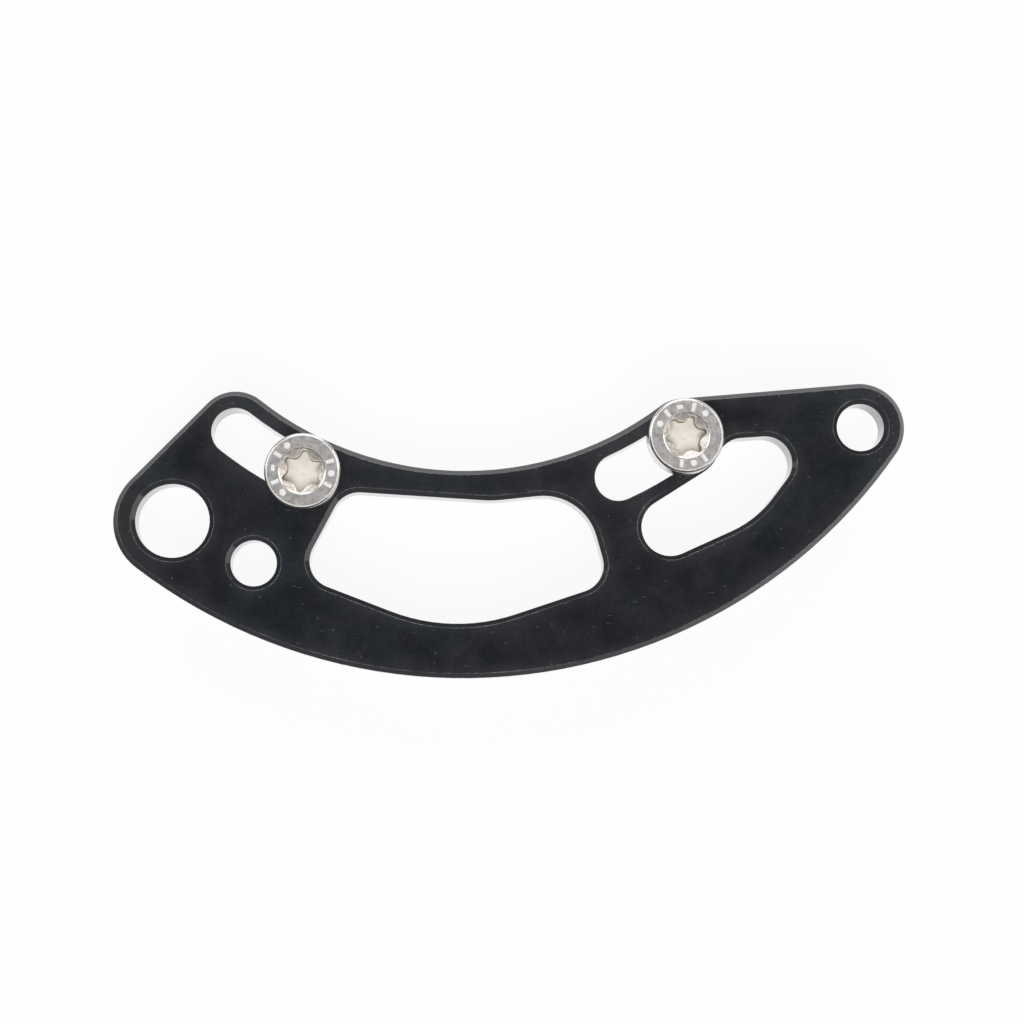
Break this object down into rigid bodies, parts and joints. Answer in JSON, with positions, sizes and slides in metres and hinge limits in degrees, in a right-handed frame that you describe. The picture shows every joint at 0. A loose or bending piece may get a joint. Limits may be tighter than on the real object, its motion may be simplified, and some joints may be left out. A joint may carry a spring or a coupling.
{
  "type": "chainring guard",
  "caption": "Flat curved guard plate with windows and adjusting slots that screws to a bicycle frame beside the crank and shields the chainring's lower teeth.",
  "frame": {"origin": "midway between the screws, on the plate's back face", "axes": "+X along the plate's length towards its upturned end, +Y towards the crank axis, +Z out of the plate towards the screw heads"},
  "size_m": [0.1058, 0.0397, 0.0159],
  "materials": {
    "black_anodised": "black anodised, satin, with worn chamfers",
    "stainless": "satin stainless steel"
  },
  "bodies": {
    "root": {"guard_plate": "black_anodised", "mounting_screws": "stainless"}
  },
  "joints": []
}
